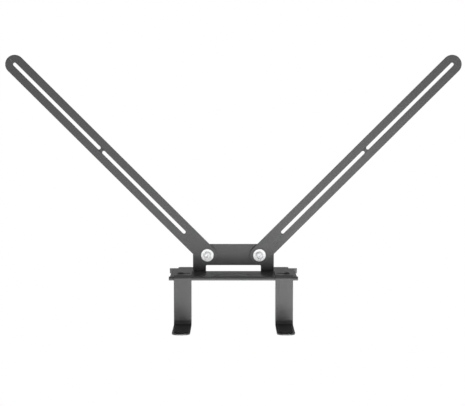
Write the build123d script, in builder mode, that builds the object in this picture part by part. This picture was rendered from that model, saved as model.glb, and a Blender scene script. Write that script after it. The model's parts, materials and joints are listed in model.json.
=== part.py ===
"""V-arm bracket that hangs a sound bar or video bar under a wall display.

A bent steel centre bracket carries two long slotted arms on pivot screws. The arms bolt to
the threaded holes in the back of a display. The bracket's shelf carries two legs, which
slide sideways on clamp screws, and the bar stands on the legs' forward toes.

Frame: X to the right, Y to the back, Z up. The origin is halfway between the two pivots, in
the plane of the arms' front faces, where they lie against the display. Millimetres.
"""

from build123d import *
import os

os.makedirs("parts", exist_ok=True)

SIDES = {"left": -1, "right": 1}

# ---- Sheet metal ----
sheet = 2.5  # bracket and legs
arm_sheet = 3.0
inner_bend = 1.5  # inside radius of the bracket's bends
mid_bend = inner_bend + sheet / 2
outer_bend = inner_bend + sheet

# ---- Arms ----
pivot_spacing = 100.0
arm_width = 36.0
arm_reach = 515.0  # pivot to the centre of the outer rounded end
arm_angle = 45.0  # from upright
arm_slot = 6.5  # passes an M6 display screw
inner_slot_start = 60.0  # pivot to the near end of the inner slot
slot_bridge_at = 285.0  # pivot to the middle of the bridge between the slots
slot_bridge = 6.5

# ---- Centre bracket ----
plate_width = 155.5
plate_top = 21.0  # above the pivots
plate_corner = 10.0
band_bottom = 19.8  # below the pivots
tab_width = 25.0
window_corner = 2.0
shelf_drop = 31.0  # pivots to the shelf's top face
shelf_front = 72.0  # arms' front plane to the front lip's outer face
shelf_back = 44.0  # arms' front plane to the rear lips' outer face
wing_width = 40.75  # the shelf reaches this far out beyond the plate
front_lip_overhang = 2.0  # each lip is wider than the shelf, on either side
back_lip_overhang = 5.8
front_lip_straight = 3.0  # below the bend
back_lip_straight = 6.5
tab_relief = 2.0  # slit between a tab and the wing beside it
shelf_slot_length = 56.0
shelf_slot_width = 8.0
shelf_slot_front = 48.0  # arms' front plane to the slot's centre line

# ---- Legs ----
strap_width = 33.0
flange_step = 4.0  # the top flange is this much narrower than the strap, on its outer side
flange_shoulder = 12.0  # front lip to the shoulder where the flange narrows
shoulder_radius = 3.0
flange_corner = 5.0
leg_gap = 0.3  # between a leg and the tab beside it, at its inner stop
leg_bend = 3.7  # inside radius over the shelf's front lip, smaller than the lip's own
toe_bend = 9.0  # inside radius between the strap and the toe
leg_drop = 89.0  # shelf's top face to the toe's top face
toe_length = 93.0  # from the strap's front face
toe_corner = 13.0
pad_thickness = 2.0
pad_side = 4.0  # strap's side to the pad's side
pad_margin = 5.0  # toe's tip to the pad's tip
pad_shoulder = 0.5  # flat left at the tip between the pad's round corners, each side
pad_back = 2.0  # end of the toe's bend to the pad's square end

# ---- Pivot fasteners, M8 ----
pivot_screw_d = 8.0
pivot_clearance = 0.1  # radial, arm on screw
plate_clearance = 0.25  # radial, plate and washers on screw
pivot_screw_length = 20.0
pivot_head_rim = 3.0  # a rim is the width of a head, washer or nut outside its screw
pivot_head_height = 4.6
pivot_washer_rim = 8.0
pivot_washer_thickness = 1.8
friction_washer_thickness = 1.0
rear_washer_rim = 4.5
rear_washer_thickness = 1.6
pivot_nut_rim = 2.5
pivot_nut_height = 6.0
collar_inset = 0.4  # hexagon's flat to the collar's side
insert_height = 2.2
insert_wall = 1.5

# ---- Leg clamp fasteners, M6 ----
clamp_edge = 7.0  # flange's outer edge to the clamp screw, with the leg at its inner stop
clamp_front = 44.0  # arms' front plane to the clamp screws
clamp_screw_d = 6.0
clamp_screw_length = 16.0
clamp_clearance = 0.3
clamp_head_rim = 3.0
clamp_head_height = 2.2
flange_slot_land = 3.0  # flange's side to the slot's end
flange_slot_play = 0.5  # each side of the screw
clamp_washer_rim = 4.0
clamp_washer_thickness = 1.4
clamp_nut_rim = 2.0
clamp_nut_height = 5.0

thread_gap = 0.05  # radial, nut on screw
head_rounding = 0.6  # share of a head's height that its edge rounds over
recess_wing = 1.7  # width of a cross recess's wings
recess_depth = 2.4
recess_taper = 8
pivot_recess = 6.5  # tip to tip
clamp_recess = 5.5

# ---- Places that follow from the sizes above ----
plate_front = arm_sheet + friction_washer_thickness
plate_back = plate_front + sheet
shelf_top = -shelf_drop
shelf_middle = shelf_top - sheet / 2
leg_inner = plate_width / 2 + leg_gap
leg_outer = leg_inner + strap_width
leg_x = (leg_inner + leg_outer) / 2
flange_outer = leg_outer - flange_step
strap_back = -shelf_front
strap_front = strap_back - sheet
toe_top = shelf_top - leg_drop
toe_tip = strap_front - toe_length
clamp_x = flange_outer - clamp_edge
flange_top = shelf_top + sheet
flange_slot_length = flange_outer - leg_inner - 2 * flange_slot_land
flange_slot_width = clamp_screw_d + 2 * flange_slot_play
flange_slot_x = (leg_inner + flange_outer) / 2
window_width = plate_width - 2 * tab_width
shelf_width = plate_width + 2 * wing_width
front_lip_width = shelf_width + 2 * front_lip_overhang
back_lip_width = shelf_width + 2 * back_lip_overhang
front_lip_height = outer_bend + front_lip_straight
back_lip_height = outer_bend + back_lip_straight
pad_width = strap_width - 2 * pad_side
pivot_head_d = pivot_screw_d + 2 * pivot_head_rim
pivot_washer_d = pivot_screw_d + 2 * pivot_washer_rim
rear_washer_d = pivot_screw_d + 2 * rear_washer_rim
pivot_nut_flats = pivot_screw_d + 2 * pivot_nut_rim
clamp_head_d = clamp_screw_d + 2 * clamp_head_rim
clamp_washer_d = clamp_screw_d + 2 * clamp_washer_rim
clamp_nut_flats = clamp_screw_d + 2 * clamp_nut_rim


def save(piece, name):
    """Label one finished sub-part and write it as its own STEP file."""
    piece.label = name
    export_step(piece, f"parts/{name}.step")


# ---- Centre bracket: plate, two tabs, shelf and lips bent from one sheet ----
with BuildPart() as centre_bracket:
    # plate, rear bend, shelf and front lip, as wide as the plate
    with BuildSketch(Plane.YZ):
        with BuildLine():
            FilletPolyline(
                (plate_front + sheet / 2, plate_top),
                (plate_front + sheet / 2, shelf_middle),
                (-shelf_front + sheet / 2, shelf_middle),
                (-shelf_front + sheet / 2, shelf_top - front_lip_height),
                radius=mid_bend,
            )
        trace(line_width=sheet)
    extrude(amount=plate_width / 2, both=True)

    # upper corners of the plate
    upper = centre_bracket.edges().filter_by(Axis.Y).filter_by(
        lambda edge: edge.center().Z > plate_top - 1
    )
    fillet(upper, radius=plate_corner)

    # window between the plate's band and the shelf, which leaves the two tabs
    window_height = shelf_drop + sheet + 1 - band_bottom
    with BuildSketch(Plane.XZ.offset(-(plate_back - outer_bend))):
        with Locations((0, -band_bottom)):
            Rectangle(window_width, window_height, align=(Align.CENTER, Align.MAX))
    extrude(amount=-outer_bend - 1, mode=Mode.SUBTRACT)
    window_tops = centre_bracket.edges().filter_by(Axis.Y).filter_by(
        lambda edge: abs(abs(edge.center().X) - window_width / 2) < 0.01
        and abs(edge.center().Z + band_bottom) < 0.01
    )
    fillet(window_tops, radius=window_corner)

    # wings of the shelf beside the tabs, each with a front lip and a rear lip
    for side in SIDES.values():
        with BuildSketch(Plane.YZ.offset(side * plate_width / 2)):
            with BuildLine():
                FilletPolyline(
                    (shelf_back - sheet / 2, shelf_top - back_lip_height),
                    (shelf_back - sheet / 2, shelf_middle),
                    (-shelf_front + sheet / 2, shelf_middle),
                    (-shelf_front + sheet / 2, shelf_top - front_lip_height),
                    radius=mid_bend,
                )
            trace(line_width=sheet)
        extrude(amount=side * (back_lip_width - plate_width) / 2)

    # slits that free the tabs, and side edges trimmed behind the front lip
    trim_front = -shelf_front + outer_bend
    trim_back = shelf_back - outer_bend
    slit_front = plate_back - outer_bend - tab_relief
    with BuildSketch(Plane.XY.offset(shelf_top + 1)):
        for side in SIDES.values():
            slit_x = side * (plate_width + tab_relief) / 2
            with Locations((slit_x, slit_front)):
                Rectangle(tab_relief, shelf_back * 2, align=(Align.CENTER, Align.MIN))
            with Locations((side * shelf_width / 2, (trim_front + trim_back) / 2)):
                Rectangle(
                    shelf_width,
                    trim_back - trim_front,
                    align=(Align.MIN if side > 0 else Align.MAX, Align.CENTER),
                )
            with Locations((side * front_lip_width / 2, trim_front)):
                Rectangle(
                    shelf_width,
                    shelf_front,
                    align=(Align.MIN if side > 0 else Align.MAX, Align.MAX),
                )
    extrude(amount=-(back_lip_height + 2), mode=Mode.SUBTRACT)

    # slot in the middle of the shelf, and the holes for the two clamp screws
    with BuildSketch(Plane.XY.offset(shelf_top)):
        with Locations((0, -shelf_slot_front)):
            SlotOverall(shelf_slot_length, shelf_slot_width)
        with Locations((-clamp_x, -clamp_front), (clamp_x, -clamp_front)):
            Circle(clamp_screw_d / 2 + clamp_clearance)
    extrude(amount=-sheet, mode=Mode.SUBTRACT)

    # pivot holes in the plate
    with BuildSketch(Plane.XZ.offset(-plate_front)):
        with GridLocations(pivot_spacing, 0, 2, 1):
            Circle(pivot_screw_d / 2 + plate_clearance)
    extrude(amount=-sheet, mode=Mode.SUBTRACT)
save(centre_bracket.part, "centre_bracket")


def slot_between(start, end, width):
    """A slot along the local X axis with its ends at start and end, in a sketch."""
    with Locations(((start + end) / 2, 0)):
        SlotOverall(end - start, width)


# ---- Arms: long flat bars with two slots in line ----
for side_name, side in SIDES.items():
    along = Vector(side, 0, 0).rotate(Axis.Y, -side * (90 - arm_angle))
    pivot_plane = Plane(
        origin=(side * pivot_spacing / 2, 0, 0), x_dir=along, z_dir=(0, 1, 0)
    )
    with BuildPart() as arm:
        with BuildSketch(pivot_plane):
            with Locations((arm_reach / 2, 0)):
                SlotCenterToCenter(arm_reach, arm_width)
            with BuildSketch(mode=Mode.SUBTRACT):
                slot_between(inner_slot_start, slot_bridge_at - slot_bridge / 2, arm_slot)
                slot_between(
                    slot_bridge_at + slot_bridge / 2, arm_reach + arm_slot / 2, arm_slot
                )
                Circle(pivot_screw_d / 2 + pivot_clearance)
        extrude(amount=arm_sheet)
    save(arm.part, f"{side_name}_arm")


# ---- Legs: flange on the shelf, strap down the front, toe forward ----
for side_name, side in SIDES.items():
    with BuildPart() as leg:
        with BuildSketch(Plane.YZ.offset(side * leg_inner)):
            with BuildLine():
                FilletPolyline(
                    (shelf_back - outer_bend, shelf_top + sheet / 2),
                    (strap_back - sheet / 2, shelf_top + sheet / 2),
                    (strap_back - sheet / 2, toe_top - sheet / 2),
                    (toe_tip, toe_top - sheet / 2),
                    radius=[leg_bend + sheet / 2, toe_bend + sheet / 2],
                )
            trace(line_width=sheet)
        extrude(amount=side * strap_width)

        # narrower flange behind the shoulder
        shoulder_y = strap_back + flange_shoulder
        with BuildSketch(Plane.XY.offset(flange_top + 1)):
            with Locations((side * flange_outer, shoulder_y)):
                Rectangle(
                    strap_width,
                    shelf_front + shelf_back,
                    align=(Align.MIN if side > 0 else Align.MAX, Align.MIN),
                )
        extrude(amount=-(sheet + 2), mode=Mode.SUBTRACT)
        shoulder = leg.edges().filter_by(Axis.Z).filter_by(
            lambda edge: abs(edge.center().Y - shoulder_y) < 0.01
            and abs(abs(edge.center().X) - flange_outer) < 0.01
        )
        fillet(shoulder, radius=shoulder_radius)

        # rounded corners at the flange's rear end and at the toe's tip
        rear = leg.edges().filter_by(Axis.Z).group_by(Axis.Y)[-1]
        fillet(rear, radius=flange_corner)
        tip = leg.edges().filter_by(Axis.Z).group_by(Axis.Y)[0]
        fillet(tip, radius=toe_corner)

        # sideways slot for the clamp screw
        with BuildSketch(Plane.XY.offset(flange_top)):
            with Locations((side * flange_slot_x, -clamp_front)):
                SlotOverall(flange_slot_length, flange_slot_width)
        extrude(amount=-sheet, mode=Mode.SUBTRACT)
    save(leg.part, f"{side_name}_leg")

    # rubber pad on the toe, round at its front end
    pad_length = toe_length - toe_bend - pad_back - pad_margin
    with BuildPart() as toe_pad:
        with BuildSketch(Plane.XY.offset(toe_top)):
            with Locations((side * leg_x, toe_tip + pad_margin)):
                Rectangle(pad_width, pad_length, align=(Align.CENTER, Align.MIN))
        extrude(amount=pad_thickness)
        front_corners = toe_pad.edges().filter_by(Axis.Z).group_by(Axis.Y)[0]
        fillet(front_corners, radius=pad_width / 2 - pad_shoulder)
    save(toe_pad.part, f"{side_name}_toe_pad")


def hexagon_radius(flats):
    """Radius to the corners of a hexagon with this size across its flats."""
    return flats / 3**0.5


# ---- Pivot fasteners: everything on one M8 screw, from the front to the back ----
for side_name, side in SIDES.items():
    pivot_x = side * pivot_spacing / 2
    head_back = -pivot_washer_thickness
    head_front = head_back - pivot_head_height

    with BuildPart() as pivot_screw:
        with BuildSketch(Plane.XZ.offset(-head_back)):
            with Locations((pivot_x, 0)):
                Circle(pivot_head_d / 2)
        extrude(amount=pivot_head_height)
        rim = pivot_screw.edges().group_by(Axis.Y)[0]
        fillet(rim, radius=pivot_head_height * head_rounding)
        with BuildSketch(Plane.XZ.offset(-head_front)):
            with Locations((pivot_x, 0)):
                Rectangle(pivot_recess, recess_wing)
                Rectangle(recess_wing, pivot_recess)
        extrude(amount=-recess_depth, taper=recess_taper, mode=Mode.SUBTRACT)
        with BuildSketch(Plane.XZ.offset(-head_back)):
            with Locations((pivot_x, 0)):
                Circle(pivot_screw_d / 2)
        extrude(amount=-pivot_screw_length)
        point = pivot_screw.edges().group_by(Axis.Y)[-1]
        chamfer(point, length=0.8)
    save(pivot_screw.part, f"{side_name}_pivot_screw")

    rear_washer_back = plate_back + rear_washer_thickness
    washers = {
        "pivot_washer": (-pivot_washer_thickness, 0, pivot_washer_d, plate_clearance),
        "friction_washer": (arm_sheet, plate_front, pivot_washer_d, pivot_clearance),
        "rear_washer": (plate_back, rear_washer_back, rear_washer_d, plate_clearance),
    }
    for washer_name, (front, back, outside, clearance) in washers.items():
        with BuildPart() as washer:
            with BuildSketch(Plane.XZ.offset(-front)):
                with Locations((pivot_x, 0)):
                    Circle(outside / 2)
                    Circle(pivot_screw_d / 2 + clearance, mode=Mode.SUBTRACT)
            extrude(amount=-(back - front))
        save(washer.part, f"{side_name}_{washer_name}")

    # lock nut: hexagon body with a round collar, and the nylon ring inside the collar
    collar_back = rear_washer_back + pivot_nut_height + insert_height
    collar_radius = pivot_nut_flats / 2 - collar_inset
    insert_radius = pivot_screw_d / 2 + insert_wall
    with BuildPart() as lock_nut:
        with BuildSketch(Plane.XZ.offset(-rear_washer_back)):
            with Locations((pivot_x, 0)):
                RegularPolygon(hexagon_radius(pivot_nut_flats), 6)
        extrude(amount=-pivot_nut_height)
        with BuildSketch(Plane.XZ.offset(-(rear_washer_back + pivot_nut_height))):
            with Locations((pivot_x, 0)):
                Circle(collar_radius)
        extrude(amount=-insert_height)
        with BuildSketch(Plane.XZ.offset(-rear_washer_back)):
            with Locations((pivot_x, 0)):
                Circle(pivot_screw_d / 2 + thread_gap)
        extrude(amount=-(pivot_nut_height + insert_height), mode=Mode.SUBTRACT)
        with BuildSketch(Plane.XZ.offset(-(rear_washer_back + pivot_nut_height))):
            with Locations((pivot_x, 0)):
                Circle(insert_radius)
        extrude(amount=-insert_height, mode=Mode.SUBTRACT)
    save(lock_nut.part, f"{side_name}_lock_nut")

    with BuildPart() as nut_insert:
        with BuildSketch(Plane.XZ.offset(-(rear_washer_back + pivot_nut_height))):
            with Locations((pivot_x, 0)):
                Circle(insert_radius - thread_gap)
                Circle(pivot_screw_d / 2 + thread_gap, mode=Mode.SUBTRACT)
        extrude(amount=-insert_height)
    save(nut_insert.part, f"{side_name}_nut_insert")


# ---- Clamp fasteners: everything on one M6 screw, from the top down ----
for side_name, side in SIDES.items():
    screw_x = side * clamp_x
    screw_y = -clamp_front
    head_top = flange_top + clamp_head_height
    shelf_bottom = shelf_top - sheet
    washer_bottom = shelf_bottom - clamp_washer_thickness

    with BuildPart() as clamp_screw:
        with BuildSketch(Plane.XY.offset(flange_top)):
            with Locations((screw_x, screw_y)):
                Circle(clamp_head_d / 2)
        extrude(amount=clamp_head_height)
        rim = clamp_screw.edges().group_by(Axis.Z)[-1]
        fillet(rim, radius=clamp_head_height * head_rounding)
        with BuildSketch(Plane.XY.offset(head_top)):
            with Locations((screw_x, screw_y)):
                Rectangle(clamp_recess, recess_wing)
                Rectangle(recess_wing, clamp_recess)
        extrude(amount=-recess_depth, taper=recess_taper, mode=Mode.SUBTRACT)
        with BuildSketch(Plane.XY.offset(flange_top)):
            with Locations((screw_x, screw_y)):
                Circle(clamp_screw_d / 2)
        extrude(amount=-clamp_screw_length)
        point = clamp_screw.edges().group_by(Axis.Z)[0]
        chamfer(point, length=0.6)
    save(clamp_screw.part, f"{side_name}_clamp_screw")

    with BuildPart() as clamp_washer:
        with BuildSketch(Plane.XY.offset(shelf_bottom)):
            with Locations((screw_x, screw_y)):
                Circle(clamp_washer_d / 2)
                Circle(clamp_screw_d / 2 + clamp_clearance, mode=Mode.SUBTRACT)
        extrude(amount=-clamp_washer_thickness)
    save(clamp_washer.part, f"{side_name}_clamp_washer")

    with BuildPart() as clamp_nut:
        with BuildSketch(Plane.XY.offset(washer_bottom)):
            with Locations((screw_x, screw_y)):
                RegularPolygon(hexagon_radius(clamp_nut_flats), 6)
                Circle(clamp_screw_d / 2 + thread_gap, mode=Mode.SUBTRACT)
        extrude(amount=-clamp_nut_height)
    save(clamp_nut.part, f"{side_name}_clamp_nut")
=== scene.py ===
"""V-arm bracket that hangs a sound bar or video bar under a wall display: its looks.

Metres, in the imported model's frame: X to the right, Y to the back, Z up. The origin is halfway
between the two arm pivots, in the plane of the arms' front faces. Sizes are given in millimetres
and turned to metres where they are written.
"""

import json
import math

import bmesh
import bpy
from mathutils import Matrix, Vector


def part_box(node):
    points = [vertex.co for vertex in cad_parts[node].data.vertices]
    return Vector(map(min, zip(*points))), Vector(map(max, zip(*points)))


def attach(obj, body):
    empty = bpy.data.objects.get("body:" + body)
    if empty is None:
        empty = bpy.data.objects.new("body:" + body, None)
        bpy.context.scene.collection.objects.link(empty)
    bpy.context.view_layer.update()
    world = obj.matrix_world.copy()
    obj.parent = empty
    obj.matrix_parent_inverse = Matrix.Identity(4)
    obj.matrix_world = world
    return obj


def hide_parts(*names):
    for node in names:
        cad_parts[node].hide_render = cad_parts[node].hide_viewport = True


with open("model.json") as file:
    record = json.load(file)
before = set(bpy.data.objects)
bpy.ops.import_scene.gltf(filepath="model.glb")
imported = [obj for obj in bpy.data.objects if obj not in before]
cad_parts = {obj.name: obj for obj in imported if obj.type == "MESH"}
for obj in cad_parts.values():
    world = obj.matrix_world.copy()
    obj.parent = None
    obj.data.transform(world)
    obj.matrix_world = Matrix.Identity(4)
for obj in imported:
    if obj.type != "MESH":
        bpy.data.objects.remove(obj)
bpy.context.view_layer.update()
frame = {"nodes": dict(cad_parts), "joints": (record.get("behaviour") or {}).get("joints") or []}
mm = 0.001
SIDES = {"left": -1, "right": 1}


# ---- Centre bracket ----
# One sheet of 2.5 mm mild steel, laser cut and then bent: an upright plate for the pivots, two
# tabs down to the shelf, and the shelf with its turned-down lips. It is degreased and powder
# coated dark grey, which rounds every cut edge by a few tenths of a millimetre.


def linear(hex_code):
    """A colour written as sRGB hex, as the linear RGBA that Blender's sockets take."""
    channels = [int(hex_code[i:i + 2], 16) / 255 for i in (1, 3, 5)]
    return [c / 12.92 if c <= 0.04045 else ((c + 0.055) / 1.055) ** 2.4 for c in channels] + [1]


def add(tree, kind, inputs=None, **settings):
    """Add one node to a tree. Each input is a value, or another node's output to link to."""
    made = tree.nodes.new(kind)
    for name, value in settings.items():
        setattr(made, name, value)
    for name, value in (inputs or {}).items():
        if isinstance(value, bpy.types.NodeSocket):
            tree.links.new(value, made.inputs[name])
        else:
            made.inputs[name].default_value = value
    return made


def new_material(name):
    """An empty material's tree, its Principled shader and its Object coordinates."""
    material = bpy.data.materials.new(name)
    material.use_nodes = True
    tree = material.node_tree
    tree.nodes.clear()
    shader = add(tree, "ShaderNodeBsdfPrincipled")
    add(tree, "ShaderNodeOutputMaterial", {"Surface": shader.outputs["BSDF"]})
    place = add(tree, "ShaderNodeTexCoord").outputs["Object"]
    return material, tree, shader, place


def powder_coat():
    """Polyester powder coat, sprayed dry and baked at 190 degrees: semi-gloss dark grey.

    The melt levels to an even colour with a faint orange peel about 1.5 mm across and a finer
    grain in it. It draws back from cut edges, where the coat is thin; the colour there is mixed a
    little lighter, partly for the thin coat and partly as a painted highlight along the edges.
    """
    cloud_size = 70 * mm
    peel_size = 1.5 * mm
    grain_size = 0.35 * mm
    thin_and_lit_from, thin_and_lit_full = 0.53, 0.62  # the edge's pointiness, where 0.5 is flat
    most_thin_and_lit = 0.5
    material, tree, shader, place = new_material("powder_coated_steel")
    cloud = add(tree, "ShaderNodeTexNoise", {
        "Vector": place, "Scale": 1 / cloud_size, "Detail": 2})
    peel = add(tree, "ShaderNodeTexNoise", {
        "Vector": place, "Scale": 1 / peel_size, "Detail": 1})
    grain = add(tree, "ShaderNodeTexNoise", {
        "Vector": place, "Scale": 1 / grain_size, "Detail": 2})
    colour = add(tree, "ShaderNodeMix", {"Factor": cloud.outputs["Fac"]}, data_type="RGBA")
    colour.inputs["A"].default_value = linear("#363637")
    colour.inputs["B"].default_value = linear("#3A3A3B")
    # Painted highlight: sharp outer edges, found by their pointiness, are mixed towards a lighter
    # grey, which also stands for the coat thinning there.
    edge = add(tree, "ShaderNodeMapRange", {
        "Value": add(tree, "ShaderNodeNewGeometry").outputs["Pointiness"],
        "From Min": thin_and_lit_from, "From Max": thin_and_lit_full, "To Min": 0, "To Max": most_thin_and_lit})
    thin_coat_and_highlight = add(tree, "ShaderNodeMix", {"Factor": edge.outputs["Result"]}, data_type="RGBA")
    tree.links.new(colour.outputs["Result"], thin_coat_and_highlight.inputs["A"])
    thin_coat_and_highlight.inputs["B"].default_value = linear("#4B4B4C")
    tree.links.new(thin_coat_and_highlight.outputs["Result"], shader.inputs["Base Color"])
    gloss = add(tree, "ShaderNodeMapRange", {
        "Value": grain.outputs["Fac"], "From Min": 0.3, "From Max": 0.7,
        "To Min": 0.33, "To Max": 0.41})
    tree.links.new(gloss.outputs["Result"], shader.inputs["Roughness"])
    fine = add(tree, "ShaderNodeBump", {
        "Height": grain.outputs["Fac"], "Strength": 0.15, "Distance": 0.02 * mm})
    orange_peel = add(tree, "ShaderNodeBump", {
        "Height": peel.outputs["Fac"], "Normal": fine.outputs["Normal"],
        "Strength": 0.35, "Distance": 0.05 * mm})
    tree.links.new(orange_peel.outputs["Normal"], shader.inputs["Normal"])
    return material


def finished(source, name, material, body, place=Matrix.Identity(4)):
    """Turn an object and its live modifiers into a plain mesh in place, riding on a body.

    The piece stands for the CAD node of the same name, which it hides, and takes the given
    material.
    """
    bpy.context.scene.collection.objects.link(source)
    bpy.context.view_layer.update()
    seen = source.evaluated_get(bpy.context.evaluated_depsgraph_get())
    mesh = bpy.data.meshes.new_from_object(seen)
    bpy.data.objects.remove(source)
    mesh.transform(place)
    mesh.materials.clear()
    mesh.materials.append(material)
    mesh.name = name + "_finished"
    piece = bpy.data.objects.new(name + "_finished", mesh)
    bpy.context.scene.collection.objects.link(piece)
    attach(piece, body)
    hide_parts(name)
    return piece


def rounded_sheet(name, edge):
    """A CAD node's shape as one clean mesh, with its cut edges rounded over by this much."""
    weld = 0.002 * mm
    still_flat = math.radians(0.5)
    bm = bmesh.new()
    bm.from_mesh(frame["nodes"][name].data)
    bmesh.ops.remove_doubles(bm, verts=bm.verts, dist=weld)
    bmesh.ops.dissolve_limit(bm, angle_limit=still_flat, verts=bm.verts, edges=bm.edges)
    mesh = bpy.data.meshes.new(name)
    bm.to_mesh(mesh)
    bm.free()
    mesh.shade_smooth()
    sheet = bpy.data.objects.new(name, mesh)
    round_edges(sheet, edge)
    return sheet


def round_edges(piece, edge):
    """Round a piece's sharp edges over, and keep its flat faces flat to the light."""
    sharp = math.radians(40)
    bevel = piece.modifiers.new("edge", "BEVEL")
    bevel.width = edge
    bevel.segments = 3
    bevel.limit_method = "ANGLE"
    bevel.angle_limit = sharp
    bevel.use_clamp_overlap = False
    bevel.miter_outer = "MITER_ARC"
    flat = piece.modifiers.new("flat", "WEIGHTED_NORMAL")
    flat.keep_sharp = False
    flat.weight = 100


coat = powder_coat()
cut_edge = 0.25 * mm  # rounding of a laser-cut edge under its coat
finished(rounded_sheet("centre_bracket", cut_edge), "centre_bracket", coat, "bracket")


# ---- Arms ----
# Two flat bars of 3 mm steel with round ends, each with two slots in line for the display's
# screws, laser cut in one pass and powder coated like the bracket.
arm_width = 36 * mm
arm_slot = 6.5 * mm
inner_slot_start = 60 * mm
slot_bridge_at = 285 * mm
slot_bridge = 6.5 * mm
pivot_hole = 8.2 * mm
end_steps = 20
end_share = 0.4999  # a round end's radius, a hair under half the width so that no edge vanishes
bar_weld = 0.001 * mm

slotted_bar = bpy.data.node_groups.new("slotted_bar", "GeometryNodeTree")
for label in ("Reach", "Width", "Thickness", "Slot Width", "Slot 1 Start", "Slot 1 End",
              "Slot 2 Start", "Slot 2 End", "Pivot Hole"):
    slotted_bar.interface.new_socket(label, in_out="INPUT", socket_type="NodeSocketFloat")
slotted_bar.interface.new_socket("Material", in_out="INPUT", socket_type="NodeSocketMaterial")
slotted_bar.interface.new_socket("Bar", in_out="OUTPUT", socket_type="NodeSocketGeometry")
given = add(slotted_bar, "NodeGroupInput").outputs


def bar_sum(a, b, operation="ADD"):
    """Two numbers in the bar's tree, added or worked out otherwise."""
    return add(slotted_bar, "ShaderNodeMath", {0: a, 1: b}, operation=operation).outputs[0]


def stadium(start, end, width):
    """A closed outline with round ends between two places along the bar."""
    box = add(slotted_bar, "GeometryNodeCurvePrimitiveQuadrilateral", {
        "Width": bar_sum(end, start, "SUBTRACT"), "Height": width}).outputs["Curve"]
    ends = add(slotted_bar, "GeometryNodeFilletCurve", {
        "Curve": box, "Count": end_steps, "Radius": bar_sum(width, end_share, "MULTIPLY"),
        "Limit Radius": True}, mode="POLY").outputs["Curve"]
    middle = bar_sum(bar_sum(start, end), 0.5, "MULTIPLY")
    at = add(slotted_bar, "ShaderNodeCombineXYZ", {"X": middle}).outputs["Vector"]
    return add(slotted_bar, "GeometryNodeTransform", {
        "Geometry": ends, "Translation": at}).outputs["Geometry"]


half_width = bar_sum(given["Width"], 0.5, "MULTIPLY")
outline = stadium(
    bar_sum(half_width, -1, "MULTIPLY"), bar_sum(given["Reach"], half_width), given["Width"])
slot_1 = stadium(given["Slot 1 Start"], given["Slot 1 End"], given["Slot Width"])
slot_2 = stadium(given["Slot 2 Start"], given["Slot 2 End"], given["Slot Width"])
hole = add(slotted_bar, "GeometryNodeCurvePrimitiveCircle", {
    "Resolution": 2 * end_steps,
    "Radius": bar_sum(given["Pivot Hole"], 0.5, "MULTIPLY")}).outputs["Curve"]
outlines = add(slotted_bar, "GeometryNodeJoinGeometry")
for shape in (outline, slot_1, slot_2, hole):
    slotted_bar.links.new(shape, outlines.inputs["Geometry"])
face = add(slotted_bar, "GeometryNodeFillCurve", {
    "Curve": outlines.outputs["Geometry"]}).outputs["Mesh"]
front = add(slotted_bar, "GeometryNodeExtrudeMesh", {
    "Mesh": face, "Offset Scale": given["Thickness"], "Individual": False}, mode="FACES")
back = add(slotted_bar, "GeometryNodeFlipFaces", {"Mesh": face})
both = add(slotted_bar, "GeometryNodeJoinGeometry", {"Geometry": front.outputs["Mesh"]})
slotted_bar.links.new(back.outputs["Mesh"], both.inputs["Geometry"])
closed = add(slotted_bar, "GeometryNodeMergeByDistance", {
    "Geometry": both.outputs["Geometry"], "Distance": bar_weld}).outputs["Geometry"]
smooth = add(slotted_bar, "GeometryNodeSetShadeSmooth", {"Geometry": closed}).outputs["Geometry"]
real = add(slotted_bar, "GeometryNodeRealizeInstances", {"Geometry": smooth}).outputs["Geometry"]
coated = add(slotted_bar, "GeometryNodeSetMaterial", {
    "Geometry": real, "Material": given["Material"]}).outputs["Geometry"]
add(slotted_bar, "NodeGroupOutput", {"Bar": coated})


def with_nodes(name, tree, mesh, inputs):
    """An object whose mesh goes through a Geometry Nodes tree, with its named inputs set."""
    piece = bpy.data.objects.new(name, mesh)
    modifier = piece.modifiers.new(tree.name, "NODES")
    modifier.node_group = tree
    for socket in tree.interface.items_tree:
        if socket.item_type == "SOCKET" and socket.in_out == "INPUT" and socket.name in inputs:
            modifier[socket.identifier] = inputs[socket.name]
    return piece


for side_name, side in SIDES.items():
    name = side_name + "_arm"
    pivot = Vector(next(
        joint["pos_m"] for joint in frame["joints"] if joint["name"] == name + "_pivot"))
    low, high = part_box(name)
    lean = math.atan2(high.x - low.x - arm_width, high.z - low.z - arm_width)
    reach = (high.z - low.z - arm_width) / math.cos(lean)
    along = Vector((side * math.sin(lean), 0, math.cos(lean)))
    through = Vector((0, 1, 0))
    place = Matrix.Translation(pivot) @ Matrix(
        (along, through.cross(along), through)).transposed().to_4x4()
    bar = with_nodes(name, slotted_bar, bpy.data.meshes.new(name), {
        "Reach": reach,
        "Width": arm_width,
        "Thickness": high.y - low.y,
        "Slot Width": arm_slot,
        "Slot 1 Start": inner_slot_start,
        "Slot 1 End": slot_bridge_at - slot_bridge / 2,
        "Slot 2 Start": slot_bridge_at + slot_bridge / 2,
        "Slot 2 End": reach + arm_slot / 2,
        "Pivot Hole": pivot_hole,
        "Material": coat,
    })
    round_edges(bar, cut_edge)
    finished(bar, name, coat, name, place)


# ---- Legs ----
# Each leg is a strip of the same 2.5 mm sheet, bent twice: a flange that lies on the shelf, a
# strap down the front and a toe that carries the bar. Laser cut, bent and powder coated.
for side_name in SIDES:
    name = side_name + "_leg"
    finished(rounded_sheet(name, cut_edge), name, coat, name)


# ---- Toe pads ----
# A 2 mm sheet of black rubber, die cut to the toe's shape and glued down, so that the bar
# neither slips nor rattles. Cut rubber is matt, with the fine grain of the rolls it came from.
pad_edge = 0.5 * mm


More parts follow.
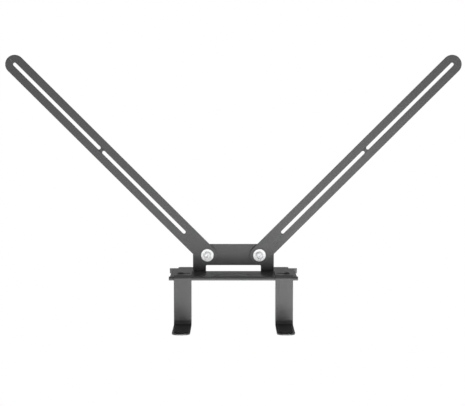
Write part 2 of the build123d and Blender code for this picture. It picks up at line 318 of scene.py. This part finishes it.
def rubber_sheet():
    """Die-cut black rubber: matt and a little dusty, with a calendered grain 1 mm across."""
    grain_size = 1 * mm
    dust_size = 9 * mm
    material, tree, shader, place = new_material("calendered_rubber")
    grain = add(tree, "ShaderNodeTexVoronoi", {"Vector": place, "Scale": 1 / grain_size})
    dust = add(tree, "ShaderNodeTexNoise", {"Vector": place, "Scale": 1 / dust_size, "Detail": 4})
    colour = add(tree, "ShaderNodeMix", {"Factor": dust.outputs["Fac"]}, data_type="RGBA")
    colour.inputs["A"].default_value = linear("#1B1B1C")
    colour.inputs["B"].default_value = linear("#262627")
    tree.links.new(colour.outputs["Result"], shader.inputs["Base Color"])
    matt = add(tree, "ShaderNodeMapRange", {
        "Value": dust.outputs["Fac"], "To Min": 0.72, "To Max": 0.9})
    tree.links.new(matt.outputs["Result"], shader.inputs["Roughness"])
    relief = add(tree, "ShaderNodeBump", {
        "Height": grain.outputs["Distance"], "Strength": 0.5, "Distance": 0.08 * mm})
    tree.links.new(relief.outputs["Normal"], shader.inputs["Normal"])
    return material


rubber = rubber_sheet()
for side_name in SIDES:
    name = side_name + "_toe_pad"
    finished(rounded_sheet(name, pad_edge), name, rubber, side_name + "_leg")


# ---- Pivot screws ----
# M8 pan-head machine screws: the head is cold forged with a cross recess, the thread is rolled,
# and the whole screw is zinc plated and bright passivated.
screw_segments = 64


def bright_zinc():
    """Electroplated zinc under a clear sealer: a light, milky metal.

    Barrel plating tumbles the pieces, which leaves soft dings and hairlines about 1 mm long.
    """
    milk_size = 4 * mm
    ding_size = 0.8 * mm
    material, tree, shader, place = new_material("bright_zinc_plate")
    milk = add(tree, "ShaderNodeTexNoise", {"Vector": place, "Scale": 1 / milk_size, "Detail": 3})
    knocks = add(tree, "ShaderNodeTexNoise", {
        "Vector": place, "Scale": 1 / ding_size, "Detail": 4, "Distortion": 1.5})
    colour = add(tree, "ShaderNodeMix", {"Factor": milk.outputs["Fac"]}, data_type="RGBA")
    colour.inputs["A"].default_value = linear("#E6E7E8")
    colour.inputs["B"].default_value = linear("#EFEFEF")
    tree.links.new(colour.outputs["Result"], shader.inputs["Base Color"])
    shader.inputs["Metallic"].default_value = 0.2
    gloss = add(tree, "ShaderNodeMapRange", {
        "Value": milk.outputs["Fac"], "To Min": 0.36, "To Max": 0.48})
    tree.links.new(gloss.outputs["Result"], shader.inputs["Roughness"])
    dings = add(tree, "ShaderNodeBump", {
        "Height": knocks.outputs["Fac"], "Strength": 0.2, "Distance": 0.02 * mm})
    tree.links.new(dings.outputs["Normal"], shader.inputs["Normal"])
    return material


def section(corners, closed=False, steps=5):
    """A turned piece's section as a line of points. Each corner is (radius, height, rounding)."""
    points = []
    count = len(corners)
    for i, (radius, height, rounding) in enumerate(corners):
        here = Vector((radius, height))
        if rounding == 0 or (not closed and i in (0, count - 1)):
            points.append(here)
            continue
        back = (Vector(corners[i - 1][:2]) - here).normalized()
        ahead = (Vector(corners[(i + 1) % count][:2]) - here).normalized()
        half = back.angle(ahead) / 2
        middle = here + (back + ahead).normalized() * rounding / math.sin(half)
        start = here + back * rounding / math.tan(half) - middle
        turn = (here + ahead * rounding / math.tan(half) - middle).angle_signed(start)
        points += [
            middle + Matrix.Rotation(turn * k / steps, 2) @ start for k in range(steps + 1)]
    if closed:
        points.append(points[0])
    return points


def section_mesh(name, points):
    """The section as a mesh of points alone, in order."""
    mesh = bpy.data.meshes.new(name)
    mesh.from_pydata([(p.x, 0, p.y) for p in points], [], [])
    return mesh


# The lathe turns a section's points about the Z axis.
lathe_weld = 0.002 * mm
lathe = bpy.data.node_groups.new("lathe", "GeometryNodeTree")
lathe.interface.new_socket("Section", in_out="INPUT", socket_type="NodeSocketGeometry")
lathe.interface.new_socket("Segments", in_out="INPUT", socket_type="NodeSocketInt")
lathe.interface.new_socket("Mesh", in_out="OUTPUT", socket_type="NodeSocketGeometry")
given = add(lathe, "NodeGroupInput").outputs
rows = add(lathe, "GeometryNodeAttributeDomainSize", {
    "Geometry": given["Section"]}, component="MESH").outputs["Point Count"]
columns = add(lathe, "ShaderNodeMath", {0: given["Segments"], 1: 1}, operation="ADD").outputs[0]
grid = add(lathe, "GeometryNodeMeshGrid", {"Vertices X": columns, "Vertices Y": rows})
index = add(lathe, "GeometryNodeInputIndex").outputs["Index"]
row = add(lathe, "ShaderNodeMath", {0: index, 1: rows}, operation="MODULO").outputs[0]
column = add(lathe, "ShaderNodeMath", {
    0: add(lathe, "ShaderNodeMath", {0: index, 1: rows}, operation="DIVIDE").outputs[0]},
    operation="FLOOR").outputs[0]
angle = add(lathe, "ShaderNodeMath", {
    0: add(lathe, "ShaderNodeMath", {0: column, 1: given["Segments"]},
           operation="DIVIDE").outputs[0],
    1: 2 * math.pi}, operation="MULTIPLY").outputs[0]
on_section = add(lathe, "GeometryNodeSampleIndex", {
    "Geometry": given["Section"], "Value": add(lathe, "GeometryNodeInputPosition").outputs[0],
    "Index": row}, data_type="FLOAT_VECTOR", domain="POINT").outputs["Value"]
turned = add(lathe, "ShaderNodeVectorRotate", {
    "Vector": on_section, "Angle": angle}, rotation_type="Z_AXIS").outputs["Vector"]
wrapped = add(lathe, "GeometryNodeSetPosition", {
    "Geometry": grid.outputs["Mesh"], "Position": turned}).outputs["Geometry"]
sewn = add(lathe, "GeometryNodeMergeByDistance", {
    "Geometry": wrapped, "Distance": lathe_weld}).outputs["Geometry"]
add(lathe, "NodeGroupOutput", {"Mesh": sewn})


def lathe_in(tree, given):
    """The lathe inside another tree, on that tree's own section."""
    turned = add(tree, "GeometryNodeGroup", node_tree=lathe)
    tree.links.new(given["Section"], turned.inputs["Section"])
    tree.links.new(given["Segments"], turned.inputs["Segments"])
    return turned.outputs["Mesh"]


def cut_to_radius(tree, mesh, limit, radius, position):
    """Draw every point that stands outside this radius in to it, square to the axis."""
    within = add(tree, "ShaderNodeMath", {0: limit, 1: radius}, operation="MINIMUM").outputs[0]
    share = add(tree, "ShaderNodeMath", {0: within, 1: radius}, operation="DIVIDE").outputs[0]
    scale = add(tree, "ShaderNodeCombineXYZ", {"X": share, "Y": share, "Z": 1}).outputs["Vector"]
    moved = add(tree, "ShaderNodeVectorMath", {0: position, 1: scale}, operation="MULTIPLY")
    return add(tree, "GeometryNodeSetPosition", {
        "Geometry": mesh, "Position": moved.outputs["Vector"]}).outputs["Geometry"]


def around_axis(tree):
    """Each point's position, and its radius, angle and height about the Z axis."""
    position = add(tree, "GeometryNodeInputPosition").outputs["Position"]
    split = add(tree, "ShaderNodeSeparateXYZ", {"Vector": position})
    angle = add(tree, "ShaderNodeMath", {
        0: split.outputs["Y"], 1: split.outputs["X"]}, operation="ARCTAN2").outputs[0]
    flat = add(tree, "ShaderNodeVectorMath", {0: position, 1: (1, 1, 0)}, operation="MULTIPLY")
    radius = add(tree, "ShaderNodeVectorMath", {
        0: flat.outputs["Vector"]}, operation="LENGTH").outputs["Value"]
    return position, radius, angle, split.outputs["Z"]


# A screw: turned, its thread rolled in below the head, and the cross punched in its head. The
# thread's flats and depth are shares of its pitch.
crest_flat = 0.06
root_flat = 0.40
thread_depth = 0.61
recess_floor = 0.6  # share of the cross's width left at its bottom
punch_proud = 0.02 * mm  # the punch stands this far out of the head's top, for a clean cut
machine_screw = bpy.data.node_groups.new("machine_screw", "GeometryNodeTree")
machine_screw.interface.new_socket("Section", in_out="INPUT", socket_type="NodeSocketGeometry")
machine_screw.interface.new_socket("Segments", in_out="INPUT", socket_type="NodeSocketInt")
for label in ("Diameter", "Pitch", "Head Height", "Recess Span", "Recess Wing", "Recess Depth"):
    machine_screw.interface.new_socket(label, in_out="INPUT", socket_type="NodeSocketFloat")
machine_screw.interface.new_socket("Material", in_out="INPUT", socket_type="NodeSocketMaterial")
machine_screw.interface.new_socket("Screw", in_out="OUTPUT", socket_type="NodeSocketGeometry")
given = add(machine_screw, "NodeGroupInput").outputs


def screw_sum(a, b, operation="ADD"):
    """Two numbers in the screw's tree, added or worked out otherwise."""
    return add(machine_screw, "ShaderNodeMath", {0: a, 1: b}, operation=operation).outputs[0]


position, radius, angle, height = around_axis(machine_screw)
turns = screw_sum(
    screw_sum(height, given["Pitch"], "DIVIDE"),
    screw_sum(angle, 2 * math.pi, "DIVIDE"), "SUBTRACT")
wave = screw_sum(turns, 0.5, "PINGPONG")
valley = add(machine_screw, "ShaderNodeMapRange", {
    "Value": wave, "From Min": crest_flat, "From Max": root_flat,
    "To Min": 0, "To Max": thread_depth}).outputs["Result"]
thread_radius = screw_sum(
    screw_sum(given["Diameter"], 0.5, "MULTIPLY"),
    screw_sum(valley, given["Pitch"], "MULTIPLY"), "SUBTRACT")
in_shank = screw_sum(height, 0, "LESS_THAN")
limit = add(machine_screw, "ShaderNodeMix", {
    "Factor": in_shank, "A": 1.0, "B": thread_radius}, data_type="FLOAT").outputs["Result"]
threaded = cut_to_radius(
    machine_screw, lathe_in(machine_screw, given), limit, radius, position)
wing = add(machine_screw, "GeometryNodeMeshCone", {
    "Vertices": 4, "Radius Top": math.sqrt(0.5), "Radius Bottom": recess_floor * math.sqrt(0.5),
    "Depth": 1.0}).outputs["Mesh"]
square = add(machine_screw, "GeometryNodeTransform", {
    "Geometry": wing, "Rotation": (0, 0, math.radians(45))}).outputs["Geometry"]
wing_size = add(machine_screw, "ShaderNodeCombineXYZ", {
    "X": given["Recess Span"], "Y": given["Recess Wing"], "Z": given["Recess Depth"]})
recess_bottom = screw_sum(given["Head Height"], given["Recess Depth"], "SUBTRACT")
wing_at = add(machine_screw, "ShaderNodeCombineXYZ", {
    "Z": screw_sum(recess_bottom, punch_proud)})
one_wing = add(machine_screw, "GeometryNodeTransform", {
    "Geometry": square, "Scale": wing_size.outputs["Vector"],
    "Translation": wing_at.outputs["Vector"]}).outputs["Geometry"]
other_wing = add(machine_screw, "GeometryNodeTransform", {
    "Geometry": one_wing, "Rotation": (0, 0, math.radians(90))}).outputs["Geometry"]
punched = add(machine_screw, "GeometryNodeMeshBoolean", {"Mesh 1": threaded, "Mesh 2": one_wing},
              operation="DIFFERENCE", solver="EXACT")
machine_screw.links.new(other_wing, punched.inputs["Mesh 2"])
real = add(machine_screw, "GeometryNodeRealizeInstances", {
    "Geometry": punched.outputs["Mesh"]}).outputs["Geometry"]
plated = add(machine_screw, "GeometryNodeSetMaterial", {
    "Geometry": real, "Material": given["Material"]}).outputs["Geometry"]
add(machine_screw, "NodeGroupOutput", {"Screw": plated})


def screw_section(diameter, pitch, length, head_diameter, head_height):
    """A pan-head screw's section, from the middle of its bevelled point up to its head's top."""
    crown = 0.55 * head_diameter / 2  # radius of the head's flat top
    shoulder = 0.62 * head_height  # where the crown curves into the rim
    under_rim = 0.15 * mm
    head = section([
        (0, head_height, 0),
        (crown, head_height, 0.3 * head_height),
        (head_diameter / 2, shoulder, 0.45 * head_height),
        (head_diameter / 2, 0, under_rim),
        (diameter / 2, 0, 0),
    ])
    point = 0.6 * pitch
    point_rows = 4
    rows_a_turn = 8
    threaded_length = length - point
    rows = round(threaded_length / pitch * rows_a_turn)
    shank = [Vector((diameter / 2, -threaded_length * k / rows)) for k in range(1, rows + 1)]
    tip = [
        Vector((diameter / 2 - point * k / point_rows, -threaded_length - point * k / point_rows))
        for k in range(1, point_rows + 1)]
    return [Vector((0, -length))] + tip[::-1] + shank[::-1] + head[::-1]


def shade_by_angle(piece, degrees=35):
    """Smooth shading with edges sharper than this left crisp."""
    piece.data.shade_smooth()
    piece.data.set_sharp_from_angle(angle=math.radians(degrees))
    return piece


def standing(origin, axis):
    """Where a turned piece stands: its own Z axis along this axis, from this origin."""
    turn = Vector((0, 0, 1)).rotation_difference(Vector(axis))
    return Matrix.Translation(origin) @ turn.to_matrix().to_4x4()


zinc = bright_zinc()
pivot_diameter = 8 * mm
pivot_pitch = 1.25 * mm
pivot_head_height = 4.6 * mm
to_front, to_back = (0, -1, 0), (0, 1, 0)
for side_name in SIDES:
    name = side_name + "_pivot_screw"
    low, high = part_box(name)
    middle = (low + high) / 2
    points = screw_section(
        pivot_diameter, pivot_pitch, high.y - low.y - pivot_head_height, high.x - low.x,
        pivot_head_height)
    screw = with_nodes(name, machine_screw, section_mesh(name, points), {
        "Segments": screw_segments,
        "Diameter": pivot_diameter,
        "Pitch": pivot_pitch,
        "Head Height": pivot_head_height,
        "Recess Span": 6.5 * mm,
        "Recess Wing": 1.7 * mm,
        "Recess Depth": 2.4 * mm,
        "Material": zinc,
    })
    place = standing((middle.x, low.y + pivot_head_height, middle.z), to_front)
    shade_by_angle(finished(screw, name, zinc, "bracket", place))


# ---- Washers and nut rings ----
# Steel washers are stamped, which rolls one edge over and leaves the other square, and plated.
# The friction washers are punched from black nylon sheet, and lie between arm and plate.
punched_ring = bpy.data.node_groups.new("punched_ring", "GeometryNodeTree")
punched_ring.interface.new_socket("Section", in_out="INPUT", socket_type="NodeSocketGeometry")
punched_ring.interface.new_socket("Segments", in_out="INPUT", socket_type="NodeSocketInt")
punched_ring.interface.new_socket("Material", in_out="INPUT", socket_type="NodeSocketMaterial")
punched_ring.interface.new_socket("Ring", in_out="OUTPUT", socket_type="NodeSocketGeometry")
given = add(punched_ring, "NodeGroupInput").outputs
real = add(punched_ring, "GeometryNodeRealizeInstances", {
    "Geometry": lathe_in(punched_ring, given)}).outputs["Geometry"]
covered = add(punched_ring, "GeometryNodeSetMaterial", {
    "Geometry": real, "Material": given["Material"]}).outputs["Geometry"]
add(punched_ring, "NodeGroupOutput", {"Ring": covered})


def nylon(name, dark, light, roughness):
    """Nylon 6, extruded and punched: a soft satin surface, faintly cloudy from its spherulites."""
    cloud_size = 2.5 * mm
    uneven = 0.05
    material, tree, shader, place = new_material(name)
    cloud = add(tree, "ShaderNodeTexNoise", {
        "Vector": place, "Scale": 1 / cloud_size, "Detail": 3})
    colour = add(tree, "ShaderNodeMix", {"Factor": cloud.outputs["Fac"]}, data_type="RGBA")
    colour.inputs["A"].default_value = linear(dark)
    colour.inputs["B"].default_value = linear(light)
    tree.links.new(colour.outputs["Result"], shader.inputs["Base Color"])
    satin = add(tree, "ShaderNodeMapRange", {
        "Value": cloud.outputs["Fac"], "To Min": roughness - uneven, "To Max": roughness + uneven})
    tree.links.new(satin.outputs["Result"], shader.inputs["Roughness"])
    shader.inputs["IOR"].default_value = 1.53
    relief = add(tree, "ShaderNodeBump", {
        "Height": cloud.outputs["Fac"], "Strength": 0.2, "Distance": 0.02 * mm})
    tree.links.new(relief.outputs["Normal"], shader.inputs["Normal"])
    return material


def ring(name, bore, material, axis, rolled, square):
    """One washer or ring in its CAD node's place. Its rolled edge faces along the axis."""
    low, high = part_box(name)
    middle = (low + high) / 2
    axis = Vector(axis)
    thickness = abs((high - low).dot(axis))
    outside = (high.x - low.x) / 2
    points = section([
        (bore / 2, 0, square),
        (outside, 0, square),
        (outside, thickness, rolled),
        (bore / 2, thickness, rolled),
    ], closed=True)
    source = with_nodes(name, punched_ring, section_mesh(name, points), {
        "Segments": screw_segments, "Material": material})
    place = standing(middle - axis * thickness / 2, axis)
    return shade_by_angle(finished(source, name, material, "bracket", place))


black_nylon = nylon("black_nylon_sheet", "#161617", "#202021", roughness=0.5)
steel_bore = 8.5 * mm
nylon_bore = 8.2 * mm
for side_name in SIDES:
    ring(side_name + "_pivot_washer", steel_bore, zinc, to_front,
         rolled=0.45 * mm, square=0.12 * mm)
    ring(side_name + "_friction_washer", nylon_bore, black_nylon, to_front,
         rolled=0.15 * mm, square=0.1 * mm)
    ring(side_name + "_rear_washer", steel_bore, zinc, to_back,
         rolled=0.4 * mm, square=0.12 * mm)


# ---- Lock nuts ----
# Hexagon nuts with a round collar, turned at both ends of the hexagon so that its corners are
# bevelled. The collar is rolled over a white nylon ring that grips the thread.
hexagon_nut = bpy.data.node_groups.new("hexagon_nut", "GeometryNodeTree")
hexagon_nut.interface.new_socket("Section", in_out="INPUT", socket_type="NodeSocketGeometry")
hexagon_nut.interface.new_socket("Segments", in_out="INPUT", socket_type="NodeSocketInt")
hexagon_nut.interface.new_socket("Flats", in_out="INPUT", socket_type="NodeSocketFloat")
hexagon_nut.interface.new_socket("Material", in_out="INPUT", socket_type="NodeSocketMaterial")
hexagon_nut.interface.new_socket("Nut", in_out="OUTPUT", socket_type="NodeSocketGeometry")
given = add(hexagon_nut, "NodeGroupInput").outputs


def nut_sum(a, b, operation="ADD"):
    """Two numbers in the nut's tree, added or worked out otherwise."""
    return add(hexagon_nut, "ShaderNodeMath", {0: a, 1: b}, operation=operation).outputs[0]


position, radius, angle, height = around_axis(hexagon_nut)
from_flat = nut_sum(nut_sum(angle, math.radians(360)), math.radians(60), "MODULO")
off_middle = nut_sum(from_flat, math.radians(30), "SUBTRACT")
flat_radius = nut_sum(
    nut_sum(given["Flats"], 0.5, "MULTIPLY"),
    add(hexagon_nut, "ShaderNodeMath", {0: off_middle}, operation="COSINE").outputs[0], "DIVIDE")
flatted = cut_to_radius(hexagon_nut, lathe_in(hexagon_nut, given), flat_radius, radius, position)
real = add(hexagon_nut, "GeometryNodeRealizeInstances", {"Geometry": flatted}).outputs["Geometry"]
plated = add(hexagon_nut, "GeometryNodeSetMaterial", {
    "Geometry": real, "Material": given["Material"]}).outputs["Geometry"]
add(hexagon_nut, "NodeGroupOutput", {"Nut": plated})
nut_segments = 96
bevel_rows = 6


def corner_bevel(flats, height, towards):
    """The turned bevel at one end of a hexagon, from its inner rim out to the corners."""
    slope = math.radians(30)
    rim = 0.96 * flats / 2  # radius of the flat end face
    corner = flats / math.sqrt(3)
    rise = (corner - rim) * math.tan(slope)
    return [
        (rim + (corner - rim) * k / bevel_rows, height + towards * rise * k / bevel_rows, 0)
        for k in range(bevel_rows + 1)]


nut_flats = 13 * mm
nut_height = 6 * mm  # without the collar
collar = nut_flats / 2 - 0.4 * mm
collar_roll = 0.55 * mm
collar_foot = 0.1 * mm  # the end of the hexagon rises this much towards the collar
pocket = 5.5 * mm  # radius inside the collar
thread_gap = 0.05 * mm
mouth = 0.5 * mm  # bevel where the screw enters
insert_bore = 8.1 * mm
white_nylon = nylon("white_nylon_ring", "#CFCEC8", "#DEDDD8", roughness=0.42)
for side_name in SIDES:
    name = side_name + "_lock_nut"
    low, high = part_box(name)
    middle = (low + high) / 2
    full = high.y - low.y
    bore = pivot_diameter / 2 + thread_gap
    points = section([
        (bore, mouth, 0),
        (bore + mouth, 0, 0),
        *corner_bevel(nut_flats, 0, 1),
        *reversed(corner_bevel(nut_flats, nut_height, -1)),
        (collar, nut_height + collar_foot, 0),
        (collar, full, collar_roll),
        (pocket, full, 0),
        (pocket, nut_height, 0),
        (bore, nut_height, 0),
    ], closed=True)
    nut = with_nodes(name, hexagon_nut, section_mesh(name, points), {
        "Segments": nut_segments, "Flats": nut_flats, "Material": zinc})
    place = standing((middle.x, low.y, middle.z), to_back)
    shade_by_angle(finished(nut, name, zinc, "bracket", place), degrees=25)
    ring(side_name + "_nut_insert", insert_bore, white_nylon, to_back,
         rolled=0.25 * mm, square=0.1 * mm)


# ---- Clamp screws, washers and nuts ----
# M6 pan-head screws down through the leg's sideways slot and the shelf, with a washer and a
# plain hexagon nut below. They are zinc plated and black passivated.
def black_zinc():
    """Zinc plate, black passivated: a dark satin metal with a faint grey bloom, 3 mm patches."""
    bloom_size = 3 * mm
    material, tree, shader, place = new_material("black_passivated_zinc")
    bloom = add(tree, "ShaderNodeTexNoise", {
        "Vector": place, "Scale": 1 / bloom_size, "Detail": 4})
    colour = add(tree, "ShaderNodeMix", {"Factor": bloom.outputs["Fac"]}, data_type="RGBA")
    colour.inputs["A"].default_value = linear("#4A4A4C")
    colour.inputs["B"].default_value = linear("#5A5A5D")
    tree.links.new(colour.outputs["Result"], shader.inputs["Base Color"])
    shader.inputs["Metallic"].default_value = 0.75
    gloss = add(tree, "ShaderNodeMapRange", {
        "Value": bloom.outputs["Fac"], "To Min": 0.22, "To Max": 0.34})
    tree.links.new(gloss.outputs["Result"], shader.inputs["Roughness"])
    relief = add(tree, "ShaderNodeBump", {
        "Height": bloom.outputs["Fac"], "Strength": 0.15, "Distance": 0.02 * mm})
    tree.links.new(relief.outputs["Normal"], shader.inputs["Normal"])
    return material


black = black_zinc()
clamp_diameter = 6 * mm
clamp_pitch = 1.0 * mm
clamp_head_height = 2.2 * mm
clamp_flats = 10 * mm
clamp_mouth = 0.4 * mm
clamp_washer_bore = 6.6 * mm
upward, downward = (0, 0, 1), (0, 0, -1)
for side_name in SIDES:
    name = side_name + "_clamp_screw"
    low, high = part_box(name)
    middle = (low + high) / 2
    points = screw_section(
        clamp_diameter, clamp_pitch, high.z - low.z - clamp_head_height, high.x - low.x,
        clamp_head_height)
    screw = with_nodes(name, machine_screw, section_mesh(name, points), {
        "Segments": screw_segments,
        "Diameter": clamp_diameter,
        "Pitch": clamp_pitch,
        "Head Height": clamp_head_height,
        "Recess Span": 5.5 * mm,
        "Recess Wing": 1.7 * mm,
        "Recess Depth": 2.4 * mm,
        "Material": black,
    })
    place = standing((middle.x, middle.y, high.z - clamp_head_height), upward)
    shade_by_angle(finished(screw, name, black, "bracket", place))
    ring(side_name + "_clamp_washer", clamp_washer_bore, black, downward,
         rolled=0.3 * mm, square=0.1 * mm)

    name = side_name + "_clamp_nut"
    low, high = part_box(name)
    middle = (low + high) / 2
    full = high.z - low.z
    bore = clamp_diameter / 2 + thread_gap
    points = section([
        (bore, clamp_mouth, 0),
        (bore + clamp_mouth, 0, 0),
        *corner_bevel(clamp_flats, 0, 1),
        *reversed(corner_bevel(clamp_flats, full, -1)),
        (bore + clamp_mouth, full, 0),
        (bore, full - clamp_mouth, 0),
    ], closed=True)
    nut = with_nodes(name, hexagon_nut, section_mesh(name, points), {
        "Segments": nut_segments, "Flats": clamp_flats, "Material": black})
    place = standing((middle.x, middle.y, low.z), upward)
    shade_by_angle(finished(nut, name, black, "bracket", place), degrees=25)


# ---- Studio ----
# A plain pale floor, lit evenly like a light table, well below the bracket, which hangs as it
# does on a display; a white surround, whose light is even up to the horizon, dimmer behind and
# overhead, and none above in front; and three softboxes low in front.
floor_reach = 12.0
floor_drop = 2.5
floor_mesh = bpy.data.meshes.new("floor")
floor_mesh.from_pydata(
    [(x * floor_reach, y * floor_reach, -floor_drop)
     for x, y in ((-1, -1), (1, -1), (1, 1), (-1, 1))],
    [], [(0, 1, 2, 3)])
pale = bpy.data.materials.new("pale_studio_floor")
pale.use_nodes = True
pale.node_tree.nodes.clear()
glow = add(pale.node_tree, "ShaderNodeEmission", {"Color": linear("#FFFFFF"), "Strength": 1.0})
add(pale.node_tree, "ShaderNodeOutputMaterial", {"Surface": glow.outputs["Emission"]})
floor_mesh.materials.append(pale)
floor = bpy.data.objects.new("floor", floor_mesh)
bpy.context.scene.collection.objects.link(floor)

behind_brightness = 0.29
side_blend = 0.1  # how far to either side of square the change from front to behind reaches
overhead_brightness = 0.45  # added to what is behind
overhead_from, overhead_full = 0.6, 0.9  # the sine of the height above the horizon
edge_from, edge_full = math.radians(5), math.radians(7)  # the even white fades out between
world = bpy.data.worlds.new("white_surround")
world.use_nodes = True
sky = world.node_tree
sky.nodes.clear()
way = add(sky, "ShaderNodeSeparateXYZ", {
    "Vector": add(sky, "ShaderNodeTexCoord").outputs["Generated"]}).outputs
behind = add(sky, "ShaderNodeMapRange", {
    "Value": way["Y"], "From Min": -side_blend, "From Max": side_blend,
    "To Min": 0, "To Max": behind_brightness})
overhead = add(sky, "ShaderNodeMapRange", {
    "Value": way["Z"], "From Min": overhead_from, "From Max": overhead_full,
    "To Min": 0, "To Max": overhead_brightness})
above = add(sky, "ShaderNodeMath", {
    0: behind.outputs["Result"], 1: overhead.outputs["Result"]}, operation="ADD").outputs[0]
over_horizon = add(sky, "ShaderNodeMapRange", {
    "Value": way["Z"], "From Min": math.sin(edge_from), "From Max": math.sin(edge_full),
    "To Min": 0, "To Max": 1}).outputs["Result"]
lit = add(sky, "ShaderNodeMix", {
    "Factor": over_horizon, "A": 1.0, "B": above}, data_type="FLOAT").outputs["Result"]
backdrop = add(sky, "ShaderNodeLightPath").outputs["Is Camera Ray"]
brightness = add(sky, "ShaderNodeMath", {0: lit, 1: backdrop}, operation="MAXIMUM").outputs[0]
surround = add(sky, "ShaderNodeBackground", {"Color": linear("#FFFFFF"), "Strength": brightness})
add(sky, "ShaderNodeOutputWorld", {"Surface": surround.outputs["Background"]})
bpy.context.scene.world = world
bpy.context.scene.view_settings.view_transform = "Standard"


def soft_light(name, at, watts):
    """A metre-square softbox that faces the bracket."""
    aim = Vector((0, 0, -0.05))
    lamp = bpy.data.lights.new(name, "AREA")
    lamp.size = 1.0
    lamp.energy = watts
    box = bpy.data.objects.new(name, lamp)
    box.location = at
    box.rotation_euler = (aim - Vector(at)).to_track_quat("-Z", "Y").to_euler()
    bpy.context.scene.collection.objects.link(box)


soft_light("right_softbox", at=(1.0, -2.1, -0.5), watts=21)
soft_light("left_softbox", at=(-1.0, -2.1, -0.5), watts=8.5)
soft_light("floor_softbox", at=(0.2, -1.3, -0.95), watts=25)

camera_data = bpy.data.cameras.new("camera")
camera_data.lens = 92.9
camera_data.sensor_width = 36
camera = bpy.data.objects.new("camera", camera_data)
camera.location = (-1.728 * mm, -2285.97 * mm, 304.64 * mm)
camera.rotation_euler = (math.radians(84.9), 0, 0)
bpy.context.scene.collection.objects.link(camera)
bpy.context.scene.camera = camera
